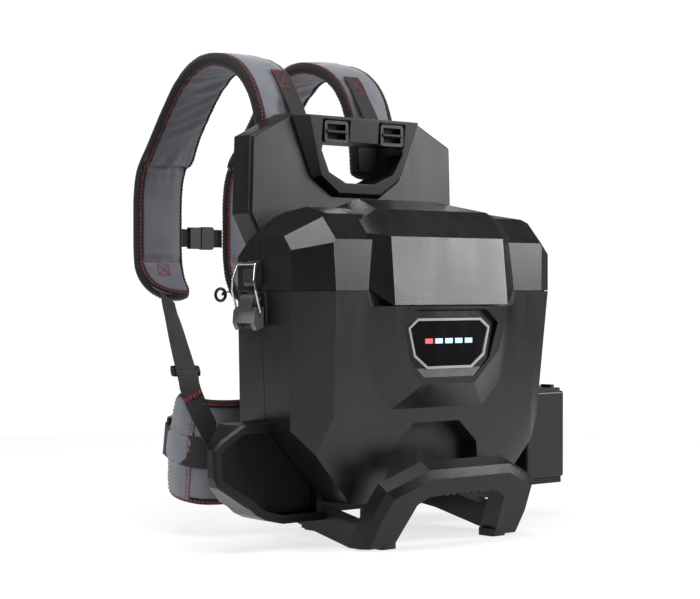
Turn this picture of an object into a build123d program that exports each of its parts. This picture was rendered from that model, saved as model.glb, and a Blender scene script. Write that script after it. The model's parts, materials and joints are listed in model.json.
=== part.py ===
from build123d import *
import math
import os

# Battery backpack power unit for hand-held garden tools: a hard case of battery packs on a carrying
# frame with a padded harness.  Millimetres.  +Z is up, the wearer stands on the +Y side, and the
# case's front faces -Y.  Lengths along Y are counted from the front feet; when the nodes are
# written they move back by ORIGIN_Y, so that the origin lies under the middle of the whole object.

ORIGIN_Y = 215.8

# ---- Case ----
SEAM_Z = 299.0              # the level where the lid meets the case
SEAM_GAP = 0.8              # open line between two shells
WALL = 4.0                  # thickness of the moulded shells
SHELL_SPLIT_Y = 74.0        # front and rear shells meet here, in the case and in the lid
CASE_HALF_WIDTH = 208.0
CASE_FRONT_Y = -13.0        # front face at the seam
CASE_REAR_Y = 149.6
CASE_BOTTOM_Z = 50.0
CASE_TOP_Z = 398.0          # ridge of the lid beside its raised centre

# ---- Raised centre of the lid and the shield below it ----
CENTRE_FRONT_Y = -29.0
CENTRE_HALF = 91.0
CENTRE_FOOT_HALF = 116.0    # where its side bevels reach the front face
CENTRE_DROP_Z = 282.0       # the lid's edge drops to here in front of the centre
CENTRE_TOP_Z = 410.0

# ---- Carrying frame ----
RAIL_HALF_OUT = 126.0
RAIL_HALF_IN = 102.0
FOOT_LIFT = 2.0             # the hard parts end this far above the floor, on rubber pads
WING_TIP = 284.0
WING_FRONT_Y = 59.0
WING_REAR_Y = 104.0
HOOP_LEAN = 30.0            # degrees that the front hoop leans forwards
HOOP_FOOT_Y = -14.0         # its front face at floor level
HOOP_DEPTH = 26.0
HOOP_BEVEL = 8.0

# ---- Back plate ----
PLATE_FRONT_Y = 150.0
PLATE_REAR_Y = 186.0
PLATE_TOP_Z = 517.0
PLATE_HALF = 166.0
SURROUND_FRONT_Y = 131.0

# ---- Latches ----
LATCH_MID_Y = 81.0
LATCH_PIN = (217.0, 290.0)      # X and Z of the lever's pin
LATCH_PIN_RADIUS = 2.0
BAIL_PIVOT = (219.0, 274.0)     # X and Z of the bail's ends in the lever
WIRE_RADIUS = 1.5
PIN_CLEARANCE = 0.06

# ---- Battery packs ----
PACK_WIDTH = 88.0
PACK_PITCH = 94.0
PACK_FRONT_Y = 28.0
PACK_REAR_Y = 124.0
PACK_BOTTOM_Z = 142.0
PACK_TOP_Z = 300.0

# ---- Harness ----
PAD_IN = 37.0
PAD_OUT = 113.0
PAD_THICK = 22.0
WEBBING = 25.0
HIP_WEBBING = 38.0
WEB_THICK = 2.4
LIFTER_X = 60.0             # middle of each lifter strap
GAP = 0.4                   # between pieces that move apart

# ---- Fittings ----
OUTLET = (102.0, 210.0)     # Y and Z of the outlet on the right side of the case
OUTLET_RADIUS = 11.0
SCREWS = [(x, y) for x in (-84, 84) for y in (40, 118)]
RING = (25.5, 474.0, 293.0)
RING_RADIUS = 8.5
RING_WIRE = 2.2

nodes = {}


# ---- Helpers ----

def prism_y(points, front, rear):
    """Straight prism of an X-Z outline from one depth to another."""
    wire = Polyline(*[(x, front, z) for x, z in points], close=True)
    return extrude(make_face(wire), amount=rear - front, dir=(0, 1, 0))


def prism_x(points, left, right):
    """Straight prism of a Y-Z outline from one X to another."""
    wire = Polyline(*[(left, y, z) for y, z in points], close=True)
    return extrude(make_face(wire), amount=right - left, dir=(1, 0, 0))


def prism_z(points, low, high):
    """Straight prism of an X-Y outline from one height to another."""
    wire = Polyline(*[(x, y, low) for x, y in points], close=True)
    return extrude(make_face(wire), amount=high - low, dir=(0, 0, 1))


def block(x0, x1, y0, y1, z0, z1):
    """Box given by its two corners."""
    middle = ((x0 + x1) / 2, (y0 + y1) / 2, (z0 + z1) / 2)
    return Pos(*middle) * Box(abs(x1 - x0), abs(y1 - y0), abs(z1 - z0))


def both_sides(half_outline):
    """Closed symmetric outline from the points of its right half, listed from top to bottom."""
    return list(half_outline) + [(-x, z) for x, z in reversed(half_outline)]


def trim(solid, point, normal, inset=0.0):
    """Keep what lies behind a plane that is moved inwards by inset."""
    direction = Vector(*normal).normalized()
    plane = Plane(origin=Vector(*point) - direction * inset, z_dir=direction)
    return split(solid, bisect_by=plane, keep=Keep.BOTTOM)


def trim_pair(solid, point, normal, inset=0.0):
    """Trim by a plane and by its mirror image in the middle plane."""
    solid = trim(solid, point, normal, inset)
    return trim(solid, (-point[0], point[1], point[2]), (-normal[0], normal[1], normal[2]), inset)


def rod(start, end, radius):
    """Round bar between two points."""
    a = Vector(*start)
    b = Vector(*end)
    plane = Plane(origin=a, z_dir=b - a)
    return extrude(plane * Circle(radius), amount=(b - a).length)


def flipped(solid):
    """Mirror image on the other side of the object."""
    return mirror(solid, about=Plane.YZ)


def add(name, *solids):
    """Keep a node: one solid, or several separate ones."""
    flat = [piece for solid in solids for piece in solid.solids()]
    nodes[name] = flat[0] if len(flat) == 1 else Compound(children=flat)


def add_group(name, solid):
    """Keep a part and its mirror image as two solids of one node."""
    add(name, flipped(solid), solid)


def add_pair(name, solid):
    """Keep a left node and its mirror image as the right one; the solid is on the right."""
    add(name + "_left", flipped(solid))
    add(name + "_right", solid)


# ---- Case: one closed form gives every shell, its cavity and the clearance around it ----

# Each face is a point and an outward normal.
MIDDLE_FACES = [
    ((0, CASE_FRONT_Y, SEAM_Z), (0, -145, -12)),                # front of the case
    ((0, CASE_FRONT_Y, SEAM_Z), (0, -59, 2)),                   # front of the lid
    ((0, -11, 358), (0, -29, 25)),                              # front chamfer of the lid
    ((0, 14, 388), (0, -10, 60)),                               # lid top, rising to the ridge
    ((0, SHELL_SPLIT_Y, CASE_TOP_Z), (0, 6, 26)),               # lid top, falling to the rear
    ((0, 100, 392), (0, 64, 77)),                               # rear chamfer of the lid
    ((0, -1, 109), (0, -54, -19)),                              # chamfer under the front
    ((0, 130, CASE_BOTTOM_Z), (0, 50, -40)),                    # chamfer under the rear
]
SIDE_FACES = [
    ((CASE_HALF_WIDTH, 0, SEAM_Z), (156, 0, -8)),               # side of the case
    ((166, CASE_FRONT_Y, SEAM_Z), (566, -819, -91)),            # front corner of the case
    ((166, CASE_FRONT_Y, SEAM_Z), (29, -42, 0)),                # front corner of the lid
    ((CASE_HALF_WIDTH, 11, 339), (560, -641, 525)),             # upper front corner
    ((CASE_HALF_WIDTH, 0, 361), (477, 0, 878)),                 # shoulder of the lid
    ((CASE_HALF_WIDTH, 90, 362), (542, 551, 635)),              # upper rear corner
    ((CASE_HALF_WIDTH, 117, SEAM_Z), (636, 771, 0)),            # rear corner
    ((200, 0, 140), (83, 0, -75)),                              # slope under the side
    ((160, -1, 154), (213, -943, -255)),                        # lower front corner
    ((118, 0, CASE_BOTTOM_Z), (30, 0, -70)),                    # turn into the bottom
]


def case_form(inset):
    """Closed form of the case with its lid, with every face moved inwards by inset."""
    solid = block(-CASE_HALF_WIDTH + inset, CASE_HALF_WIDTH - inset, -60, CASE_REAR_Y - inset,
                  CASE_BOTTOM_Z + inset, CENTRE_TOP_Z + 20)
    for point, normal in MIDDLE_FACES:
        solid = trim(solid, point, normal, inset)
    for point, normal in SIDE_FACES:
        solid = trim_pair(solid, point, normal, inset)
    return solid


def lid_centre_form(inset):
    """Raised centre of the lid: front, chamfer and top, with bevelled sides."""
    solid = block(-130, 130, -60, 126, CENTRE_DROP_Z, CENTRE_TOP_Z + 10)
    solid = trim(solid, (0, CENTRE_FRONT_Y, CENTRE_DROP_Z), (0, -80, 8), inset)
    solid = trim(solid, (0, -21, 362), (0, -33, 27.5), inset)
    solid = trim(solid, (0, SHELL_SPLIT_Y, CENTRE_TOP_Z), (0, -15, 66.5), inset)
    solid = trim(solid, (0, SHELL_SPLIT_Y, CENTRE_TOP_Z), (0, 40, 60), inset)
    solid = trim_pair(solid, (CENTRE_HALF, CENTRE_FRONT_Y, CENTRE_DROP_Z), (13, -25, 2.6), inset)
    solid = trim_pair(solid, (CENTRE_HALF, -21, 362), (314, -753, 647), inset)
    solid = trim_pair(solid, (89, 6.5, 395), (12, 0, 23), inset)
    return trim_pair(solid, (CENTRE_FOOT_HALF, 0, SEAM_Z), (1, 0, 0), inset)


def shield_form():
    """Raised shield on the front of the case, under the lid's centre."""
    solid = block(-130, 130, -60, 0, 160, SEAM_Z)
    solid = trim(solid, (0, CENTRE_FRONT_Y, CENTRE_DROP_Z), (0, -93, -7))
    solid = trim(solid, (0, -22, 189), (0, -14, -10))
    solid = trim_pair(solid, (CENTRE_HALF, CENTRE_FRONT_Y, CENTRE_DROP_Z), (541, -825, -164))
    return trim_pair(solid, (75, -23, 218), (270, -900, -340))


SEAM_DROP = both_sides([(CENTRE_FOOT_HALF, SEAM_Z), (CENTRE_HALF + 2, CENTRE_DROP_Z)])
FLAP_REAR_Y = CASE_FRONT_Y + WALL - 0.2
NOTCH = both_sides([(37, 143), (68, 116), (80, 40)])
NOTCH_DEPTH = 26.0


def notch_form(wall):
    """Hand recess behind the hoop: an arch that opens to the front and below."""
    outline = both_sides([(37 + wall, 143 + wall), (68 + wall, 116 + wall), (80 + wall, 40)])
    return prism_y(outline, -40, NOTCH_DEPTH + wall - 4)


outer = case_form(0)
cavity = case_form(WALL)
lip_core = case_form(WALL + 2)
below_seam = (CASE_BOTTOM_Z - 10, SEAM_Z - SEAM_GAP / 2)
above_seam = (SEAM_Z + SEAM_GAP / 2, CENTRE_TOP_Z + 30)


def half_space(level, front, rear):
    """Slab between two heights and two depths, wider than the object."""
    return block(-320, 320, front, rear, *level)


def build_case():
    """Front and rear shells of the case, with a lip that backs the line between them."""
    body = (outer & half_space(below_seam, -60, 200)) + (shield_form() & half_space(below_seam, -60, 0))
    body = body - prism_y(SEAM_DROP, -60, FLAP_REAR_Y + 0.4)
    body = body - block(-130, 130, -60, CASE_FRONT_Y - 0.01, CENTRE_DROP_Z - SEAM_GAP, SEAM_Z + 1)
    body = body - notch_form(0)
    body = body - (cavity - notch_form(WALL))
    badge_hole = prism_y(BADGE_RECESS, -60, CENTRE_FRONT_Y + 13)
    body = body - badge_hole
    body = body - rod((150, *OUTLET), (230, *OUTLET), OUTLET_RADIUS)
    for x, y in SCREWS:
        body = body - rod((x, y, CASE_BOTTOM_Z - 1), (x, y, CASE_BOTTOM_Z + 1.6), 4.7)
        body = body - rod((x, y, CASE_BOTTOM_Z), (x, y, CASE_BOTTOM_Z + 13), 2.5)
    front = body & half_space((0, 500), -60, SHELL_SPLIT_Y - SEAM_GAP / 2)
    rear = body & half_space((0, 500), SHELL_SPLIT_Y + SEAM_GAP / 2, 200)
    lip = (cavity - lip_core) & half_space((CASE_BOTTOM_Z, SEAM_Z - 9), SHELL_SPLIT_Y - 6,
                                           SHELL_SPLIT_Y + 6)
    front = front - lip
    add("case_front_shell", front)
    add("case_rear_shell", rear + lip)


def build_lid():
    """Front and rear shells of the lid; the centre's front edge hangs over the case's front."""
    solid = (outer + lid_centre_form(0)) & half_space(above_seam, -60, 200)
    flap_outline = both_sides([(CENTRE_FOOT_HALF - SEAM_GAP, SEAM_Z + SEAM_GAP),
                               (CENTRE_HALF + 2 - SEAM_GAP, CENTRE_DROP_Z + SEAM_GAP)])
    solid = solid + (prism_y(flap_outline, -60, FLAP_REAR_Y) & lid_centre_form(0))
    hollow = cavity + lid_centre_form(WALL) & half_space(above_seam, FLAP_REAR_Y + 0.1, 200)
    solid = solid - (hollow & half_space(above_seam, -60, 200))
    front = solid & half_space((0, 500), -60, SHELL_SPLIT_Y - SEAM_GAP / 2)
    rear = solid & half_space((0, 500), SHELL_SPLIT_Y + SEAM_GAP / 2, 200)
    lip_outer = (cavity + lid_centre_form(WALL)) & half_space(above_seam, SHELL_SPLIT_Y - 6,
                                                             SHELL_SPLIT_Y + 6)
    lip = lip_outer - (lip_core + lid_centre_form(WALL + 2))
    add("lid_front_shell", front - lip)
    add("lid_rear_shell", rear + lip)


BADGE_RECESS = both_sides([(56, 277), (76, 261), (64, 218), (40, 197)])
BADGE_PLATE = both_sides([(51, 267), (66, 256), (57, 222), (36, 207)])


def ring_between(outer_form, inner_form, low, high):
    """Ring that is left between two closed forms over a range of heights."""
    return (outer_form - inner_form) & half_space((low, high), -60, 200)


SEAL_STAND_Y = 67.0         # the seal stays low behind here, clear of the lid's own lip and rear


def build_seal():
    """Seal inside the rim; its front and sides stand up behind the seam, clear of the lid's walls."""
    low = ring_between(case_form(WALL), case_form(WALL + 3), SEAM_Z - 8.5, SEAM_Z - 1.0)
    high = ring_between(case_form(WALL + GAP), case_form(WALL + 3), SEAM_Z - 2.0, SEAM_Z + 2.2)
    add("lid_seal", low + (high & half_space((0, 500), -60, SEAL_STAND_Y)))


# ---- Badge: a charge gauge in the shield ----

BADGE_FLOOR_Y = CENTRE_FRONT_Y + 13
GAUGE_BARS = 5
BAR_PITCH = 16.0
BAR_SIZE = (12.0, 6.0)
BAR_Z = 240.0


def shrunk(outline, amount):
    """X-Z outline moved inwards all round by amount."""
    face = make_face(Polyline(*outline, close=True))
    return offset(face, amount=-amount, kind=Kind.INTERSECTION)


def plate_from(sketch, front, rear):
    """Flat X-Y sketch stood up as an X-Z plate between two depths."""
    stood = Plane(origin=(0, rear, 0), x_dir=(1, 0, 0), z_dir=(0, -1, 0)) * sketch
    return extrude(stood, amount=rear - front, dir=(0, -1, 0))


def build_badge():
    """Bezel, window and lamps of the charge gauge, with its circuit board inside the case."""
    outside = shrunk(BADGE_RECESS, 0.2)
    plate_hole = shrunk(BADGE_PLATE, 0)
    bezel = plate_from(outside - plate_hole, BADGE_FLOOR_Y - 6, BADGE_FLOOR_Y)
    add("badge_bezel", bezel)
    rim = shrunk(BADGE_PLATE, 0.2) - shrunk(BADGE_PLATE, 3.2)
    add("badge_rim", plate_from(rim, BADGE_FLOOR_Y - 7.5, BADGE_FLOOR_Y - 2))
    window = shrunk(BADGE_PLATE, 3.3)
    lamp_x = [(i - (GAUGE_BARS - 1) / 2) * BAR_PITCH for i in range(GAUGE_BARS)]
    slots = Sketch() + [Pos(x, BAR_Z) * Rectangle(BAR_SIZE[0] + 0.2, BAR_SIZE[1] + 0.2) for x in lamp_x]
    add("badge_window", plate_from(window - slots, BADGE_FLOOR_Y - 5.5, BADGE_FLOOR_Y - 2))
    lamps = [plate_from(Pos(x, BAR_Z) * Rectangle(*BAR_SIZE), BADGE_FLOOR_Y - 6, BADGE_FLOOR_Y - 2)
             for x in lamp_x]
    add("charge_lamps", *lamps)
    board = block(-34, 34, BADGE_FLOOR_Y - 1.8, BADGE_FLOOR_Y - 0.2, 213, 260)
    add("gauge_board", board)


# ---- Latches, one on each side ----

LEVER_HALF = 20.6
EAR_MID = 15.0
EAR_THICK = 4.0


def latch_rod(x, z, half_length, radius):
    """Rod along Y through a point of the latch, centred on it."""
    return rod((x, LATCH_MID_Y - half_length, z), (x, LATCH_MID_Y + half_length, z), radius)


def build_latches():
    """Keeper on the lid; bracket, pin, lever and wire bail on the case."""
    pin_x, pin_z = LATCH_PIN
    mid = LATCH_MID_Y
    keeper = prism_y([(207.8, 304), (216, 304), (219, 308), (219, 323), (214, 326), (214, 332), (211, 334),
                      (207.8, 334)], mid - 11, mid + 11)
    keeper = keeper - (outer & half_space((SEAM_Z, 400), -60, 200))
    add_group("latch_keepers", keeper)
    base = block(207.0, 210.4, mid - 21, mid + 21, 262, 298)
    ears = [block(209, 221, mid + side * EAR_MID - EAR_THICK / 2, mid + side * EAR_MID + EAR_THICK / 2,
                  pin_z - 7, pin_z + 7) for side in (-1, 1)]
    bracket = base + ears[0] + ears[1] - outer
    bracket = bracket - latch_rod(pin_x, pin_z, 30, LATCH_PIN_RADIUS)
    add_group("latch_brackets", bracket)
    add_group("latch_pins", latch_rod(pin_x, pin_z, EAR_MID + EAR_THICK / 2 + 1.5, LATCH_PIN_RADIUS))
    hub = latch_rod(pin_x, pin_z, EAR_MID - EAR_THICK / 2 - GAP, 5.2)
    arm = prism_y([(213, 290), (213, 280), (213.5, 257), (223, 254), (227, 262), (226, 276), (221.5, 290)],
                  mid - EAR_MID + EAR_THICK / 2 + GAP, mid + EAR_MID - EAR_THICK / 2 - GAP)
    cup = prism_y([(213, 281), (213.5, 257), (223, 254), (227, 262), (226, 276), (222, 281)],
                  mid - LEVER_HALF, mid + LEVER_HALF)
    finger_well = prism_y([(218, 250), (218, 262), (230, 262), (230, 250)], mid - 13, mid + 13)
    lever = hub + arm + cup - finger_well
    lever = lever - latch_rod(pin_x, pin_z, 30, LATCH_PIN_RADIUS + PIN_CLEARANCE)
    lever = lever - latch_rod(*BAIL_PIVOT, 30, WIRE_RADIUS + PIN_CLEARANCE)
    lever = lever + latch_rod(*BAIL_PIVOT, LEVER_HALF - 7, WIRE_RADIUS + 1)
    add_pair("latch_lever", lever)
    side = LEVER_HALF + GAP + WIRE_RADIUS + 0.2
    add_pair("latch_bail", bail_wire(side))


def bail_wire(half_width):
    """Bent wire: two ends in the lever, two bowed arms and a cross bar above the keeper."""
    path = []
    for sign in (-1, 1):
        y = LATCH_MID_Y + sign * half_width
        arm = [(BAIL_PIVOT[0], LATCH_MID_Y + sign * (LEVER_HALF - 6), BAIL_PIVOT[1]),
               (BAIL_PIVOT[0], y, BAIL_PIVOT[1]),
               (226, y, 300), (227, y - sign * 2, 311), (222, y - sign * 6, 330)]
        path = arm if sign < 0 else path + arm[::-1]
    line = FilletPolyline(*path, radius=2.6)
    section = Plane(origin=line @ 0, z_dir=line % 0) * Circle(WIRE_RADIUS)
    return sweep(section, path=line)


# ---- Battery packs and what they plug into ----

PACKS = 4
BLADE = (3.0, 14.0, 12.0)
BLADE_SPREAD = 24.0
DOCK_TOP_Z = PACK_BOTTOM_Z - GAP


def pack_centre(index):
    """X of a battery pack, counted from the left."""
    return (index - (PACKS - 1) / 2) * PACK_PITCH


def battery_pack(x):
    """Battery pack with rounded corners, a grab recess on top and slots for its blades."""
    mid_y = (PACK_FRONT_Y + PACK_REAR_Y) / 2
    height = PACK_TOP_Z - PACK_BOTTOM_Z
    solid = Box(PACK_WIDTH, PACK_REAR_Y - PACK_FRONT_Y, height)
    solid = fillet(solid.edges().filter_by(Axis.Z), 9)
    solid = chamfer(solid.faces().sort_by(Axis.Z)[-1].edges(), 3)
    grab = Pos(0, 0, height / 2 - 8) * Box(PACK_WIDTH - 26, 30, 20)
    bar = Pos(0, 0, height / 2 - 4) * Box(PACK_WIDTH - 26, 11, 8)
    solid = solid - grab + bar
    for side in (-1, 1):
        slot = Box(BLADE[0] + 2, BLADE[1] + 2, BLADE[2] + 3)
        solid = solid - Pos(side * BLADE_SPREAD, 0, -height / 2 + BLADE[2] / 2) * slot
        rib = Pos(side * PACK_WIDTH / 2, 0, -10) * Box(2.4, 40, height - 60)
        solid = solid - rib
    return Pos(x, mid_y, PACK_BOTTOM_Z + height / 2) * solid


def build_power():
    """Packs, their dock with contact blades, bus bars, controller and outlet."""
    mid_y = (PACK_FRONT_Y + PACK_REAR_Y) / 2
    for index in range(PACKS):
        add("battery_pack_" + str(index + 1), battery_pack(pack_centre(index)))
    dock_low = 126.0
    dock = block(-190, 190, PACK_FRONT_Y - 2, PACK_REAR_Y + 2, dock_low, DOCK_TOP_Z)
    blades = []
    posts = []
    for index in range(PACKS):
        for side in (-1, 1):
            x = pack_centre(index) + side * BLADE_SPREAD
            blades.append(block(x - BLADE[0] / 2, x + BLADE[0] / 2, mid_y - BLADE[1] / 2, mid_y + BLADE[1] / 2,
                                dock_low - 6, DOCK_TOP_Z + BLADE[2] - 1))
            posts.append(block(x - BLADE[0] / 2, x + BLADE[0] / 2, mid_y - BLADE[1] / 2,
                               mid_y + BLADE[1] / 2, dock_low - 10, DOCK_TOP_Z + 5))
    for post in posts:
        dock = dock - post
    add("battery_dock", dock & case_form(WALL + 2.3))
    add("contact_blades", *blades)
    bars = [block(-172, 172, mid_y + side * 3.6 - 2.4, mid_y + side * 3.6 + 2.4, dock_low - 9, dock_low - 6.2)
            for side in (-1, 1)]
    add("bus_bars", *bars)
    add("controller_board", block(-95, 95, 40, 120, 78, 80))
    fins = block(-60, 60, 46, 114, 80, 84)
    for step in range(9):
        x = -56 + step * 14
        fins = fins + block(x - 1.2, x + 1.2, 46, 114, 84, 106)
    add("controller_heatsink", fins)
    posts = [block(x - 4, x + 4, y - 4, y + 4, CASE_BOTTOM_Z + WALL, 78) for x in (-85, 85) for y in (50, 110)]
    add("board_posts", *posts)


# ---- Carrying frame: rails, front hoop, side wings and feet ----

RAIL_OUTLINE = [(-14, FOOT_LIFT), (-30, 31), (8, 31), (112, 49), (150, 49.5), (PLATE_REAR_Y, 49.5),
                (PLATE_REAR_Y, 30), (112, 22), (12, FOOT_LIFT)]
REAR_FOOT_HALF = 58.0
WING_OUTLINE = [(RAIL_HALF_OUT, 30), (186, 30), (211, 36), (224, 42), (232, 49), (277, 77), (283, 89),
                (WING_TIP, 120), (280, 124), (272, 131), (245, 146), (RAIL_HALF_OUT, 150)]


def foot_pads():
    """Rubber pads: two under the hoop's legs and two under the rear foot."""
    front = block(77, 101, HOOP_FOOT_Y - 3, 10, 0, 9)
    front = fillet(front.edges().filter_by(Axis.Z), 5)
    rear = block(REAR_FOOT_HALF - 19, REAR_FOOT_HALF - 1, 162, 184, 0, 5)
    rear = fillet(rear.edges().filter_by(Axis.Z), 4)
    return [front, flipped(front), rear, flipped(rear)]


def through_hoop(sketch, plane):
    """Cutter that passes through the hoop along its own normal."""
    return extrude(sketch, amount=HOOP_DEPTH * 2, dir=plane.z_dir, both=True)


def hoop_form():
    """Front hoop: two legs and a grip bar in one leaning, faceted piece."""
    lean = math.radians(HOOP_LEAN)
    plane = Plane(origin=(0, HOOP_FOOT_Y, 0), x_dir=(1, 0, 0), z_dir=(0, -math.cos(lean), -math.sin(lean)))
    top = 103.0
    outline = both_sides([(64, top), (118, 77), (RAIL_HALF_OUT, 36), (RAIL_HALF_OUT, -20)])
    solid = extrude(plane * Polygon(*outline, align=None), amount=HOOP_DEPTH, dir=-plane.z_dir)
    rim = [edge for edge in solid.edges() if abs(plane.to_local_coords(edge.center()).Z) < 0.01
           and plane.to_local_coords(edge.center()).Y > -10]
    solid = chamfer(rim, HOOP_BEVEL)
    opening = both_sides([(56, 70), (70, 60), (87, -22)])
    inside = plane * Polygon(*opening, align=None)
    solid = solid - through_hoop(inside, plane)
    ridges = 9
    for step in range(ridges):
        x = (step - (ridges - 1) / 2) * 11
        groove = plane * Pos(x, 69) * Circle(4)
        solid = solid - through_hoop(groove, plane)
    return solid & block(-200, 200, -120, 60, FOOT_LIFT, 130)


def build_frame():
    """Rails with their cross bar and rear foot, the front hoop and the feet."""
    hoop = hoop_form()
    pads = foot_pads()
    right = prism_x(RAIL_OUTLINE, RAIL_HALF_IN, RAIL_HALF_OUT)
    cross = block(-RAIL_HALF_IN, RAIL_HALF_IN, 162, PLATE_REAR_Y, 28, 49.5)
    foot = block(-REAR_FOOT_HALF, REAR_FOOT_HALF, 162, PLATE_REAR_Y, FOOT_LIFT, 28)
    foot = foot - block(-REAR_FOOT_HALF + 20, REAR_FOOT_HALF - 20, 150, 190, -1, 22)
    frame = right + flipped(right) + cross + foot - hoop
    for pad in pads:
        frame = frame - pad
        hoop = hoop - pad
    add("base_frame", frame.solids().sort_by(SortBy.VOLUME)[-1])
    add("front_hoop", hoop)
    add("feet", *pads)


def inner_outline(points, amount):
    """Closed X-Z outline moved inwards, as a sketch."""
    return offset(make_face(Polyline(*points, close=True)), amount=-amount, kind=Kind.INTERSECTION)


def build_wings():
    """Side wings: an open tray on the left, and on the right a carrier for the docked adapter."""
    clearance = case_form(-0.5) + prism_x(RAIL_OUTLINE, RAIL_HALF_IN - 5, RAIL_HALF_OUT + 0.2)
    tray = prism_y(WING_OUTLINE, WING_FRONT_Y, WING_REAR_Y)
    tray = chamfer(tray.edges().filter_by(lambda edge: abs(edge.center().Y - WING_FRONT_Y) < 0.1
                                          and edge.center().X > 235), 3)
    well = plate_from(inner_outline(WING_OUTLINE, 10), WING_FRONT_Y - 1, WING_FRONT_Y + 16)
    tray = tray - well
    back_hollow = plate_from(inner_outline(WING_OUTLINE, 5), WING_FRONT_Y + 22, WING_REAR_Y + 1)
    tray = trim(tray - back_hollow - clearance, (WING_TIP, WING_FRONT_Y + 13, 0), (32, 39, 0))
    add("side_wing_left", flipped(tray.solids().sort_by(SortBy.VOLUME)[-1]))
    panel = plate_from(inner_outline(WING_OUTLINE, 10.4), WING_FRONT_Y + 12, WING_FRONT_Y + 15.8)
    panel = panel - clearance
    add("wing_panel_left", flipped(panel.solids().sort_by(SortBy.VOLUME)[-1]))
    carrier = prism_y(WING_OUTLINE, ADAPTER_REAR_Y + 1, WING_REAR_Y)
    shelf = block(212, 282, WING_FRONT_Y + 4, ADAPTER_REAR_Y + 2, 46, ADAPTER_LOW_Z - GAP)
    guide = block(238, 258, ADAPTER_REAR_Y - 5, ADAPTER_REAR_Y + 2, 62, GUIDE_TOP_Z)
    carrier = carrier + shelf + guide - clearance
    add("side_wing_right", carrier.solids().sort_by(SortBy.VOLUME)[-1])


ADAPTER_REAR_Y = 95.0
ADAPTER_LOW_Z = 54.0
ADAPTER_HIGH_Z = 167.0
GUIDE_TOP_Z = 118.0         # the adapter is free of its guide after 64 mm of lift


def build_adapter():
    """Adapter module that slides upwards off its carrier, with a ledge and two ribs on top."""
    case_side = 214.0
    body = block(case_side, WING_TIP, WING_FRONT_Y, ADAPTER_REAR_Y, ADAPTER_LOW_Z, ADAPTER_HIGH_Z)
    body = fillet(body.edges(), 3.5)
    ledge = block(case_side + 20, WING_TIP - 4, WING_FRONT_Y + 4, ADAPTER_REAR_Y - 5, ADAPTER_HIGH_Z - 1,
                  ADAPTER_HIGH_Z + 4)
    ribs = [block(x - 3, x + 3, WING_FRONT_Y + 8, ADAPTER_REAR_Y - 9, ADAPTER_HIGH_Z + 3,
                  ADAPTER_HIGH_Z + 8) for x in (244, 270)]
    body = body + ledge + ribs[0] + ribs[1]
    groove = block(238 - GAP, 258 + GAP, ADAPTER_REAR_Y - 5 - GAP, ADAPTER_REAR_Y + 1, 40, GUIDE_TOP_Z + GAP)
    panel_line = block(case_side - 1, WING_TIP + 1, WING_FRONT_Y - 1, WING_FRONT_Y + 1, 148, 149.5)
    body = body - groove - panel_line
    add("adapter_module", body)


# ---- Back plate with its carrying handle ----

PLATE_OUTLINE = both_sides([(101, PLATE_TOP_Z), (163, 486), (PLATE_HALF, 392), (140, 345), (118, 210),
                            (118, 50)])
SURROUND_FOOT = both_sides([(103, 514), (71, 437), (38, 415)])
SURROUND_FACE = both_sides([(86, 514), (58, 446), (26, 428)])
HAND_OPENING = both_sides([(64, 483), (66, 472), (52, 446), (23, 433)])
BUCKLE_X = 45.5
BUCKLE_Z = 498.0


def build_plate():
    """Back plate with a bevelled rim, a handle surround and a hand opening through both."""
    plate = prism_y(PLATE_OUTLINE, PLATE_FRONT_Y, PLATE_REAR_Y)
    front = plate.faces().sort_by(Axis.Y)[0]
    plate = chamfer(front.edges(), 3)
    hollow = plate_from(inner_outline(PLATE_OUTLINE, 6), PLATE_FRONT_Y + 6, PLATE_REAR_Y + 1)
    handle_wall = prism_y(both_sides([(78, 492), (78, 466), (60, 438), (30, 422)]), PLATE_FRONT_Y,
                          PLATE_REAR_Y)
    opening = prism_y(HAND_OPENING, 100, 200)
    plate = plate - hollow + handle_wall - opening
    ribs = [block(x - 2, x + 2, PLATE_FRONT_Y + 5, PLATE_REAR_Y, 56, 400) for x in (-70, 0, 70)]
    for rib in ribs:
        plate = plate + rib
    add("back_plate", plate)
    foot = Plane(origin=(0, PLATE_FRONT_Y, 0), x_dir=(1, 0, 0), z_dir=(0, -1, 0))
    face = Plane(origin=(0, 126, 0), x_dir=(1, 0, 0), z_dir=(0, -1, 0))
    surround = loft([foot * Polygon(*SURROUND_FOOT, align=None), face * Polygon(*SURROUND_FACE, align=None)],
                    ruled=True)
    surround = trim(surround, (0, SURROUND_FRONT_Y, 513), (0, -84, -9))
    surround = surround - opening
    for side in (-1, 1):
        x = side * BUCKLE_X
        surround = surround - block(x - 21.5, x + 21.5, 100, 143, BUCKLE_Z - 18, BUCKLE_Z + 11.5)
    add("handle_surround", surround)
    add("lifter_buckles", *[Pos(side * BUCKLE_X, 134.5, BUCKLE_Z - 3) * ladder_lock(38, 27) for side in (-1, 1)])


def ladder_lock(width, height):
    """Three-bar webbing buckle that lies in an X-Z plane."""
    frame = Box(width, 5, height)
    frame = fillet(frame.edges().filter_by(Axis.Y), 4)
    for side in (-1, 1):
        frame = frame - Pos(0, 0, side * height * 0.22) * Box(width - 9, 20, height * 0.26)
    bar = Pos(0, -1.6, 0) * Rot(0, 90, 0) * Cylinder(2.6, width - 6)
    return frame + bar


# ---- Harness: padded straps, webbing and buckles ----

# Mid-line of a shoulder pad in Y and Z, from behind the plate over the shoulder to its tip.
SHOULDER_LINE = [(200, 442), (206, 500), (221, 545), (249, 577), (290, 594), (336, 595), (379, 574), (414, 537),
                 (448, 494), (473, 462), (481, 430), (482, 386), (481, 345), (474, 314), (456, 288)]
# Mid-line of a hip pad in X and Y, from the lumbar pad round the hip.
HIP_LINE = [(120.5, 198.5), (145, 197.5), (170, 197), (193, 205), (203, 226), (200, 248), (192, 270)]
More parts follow.
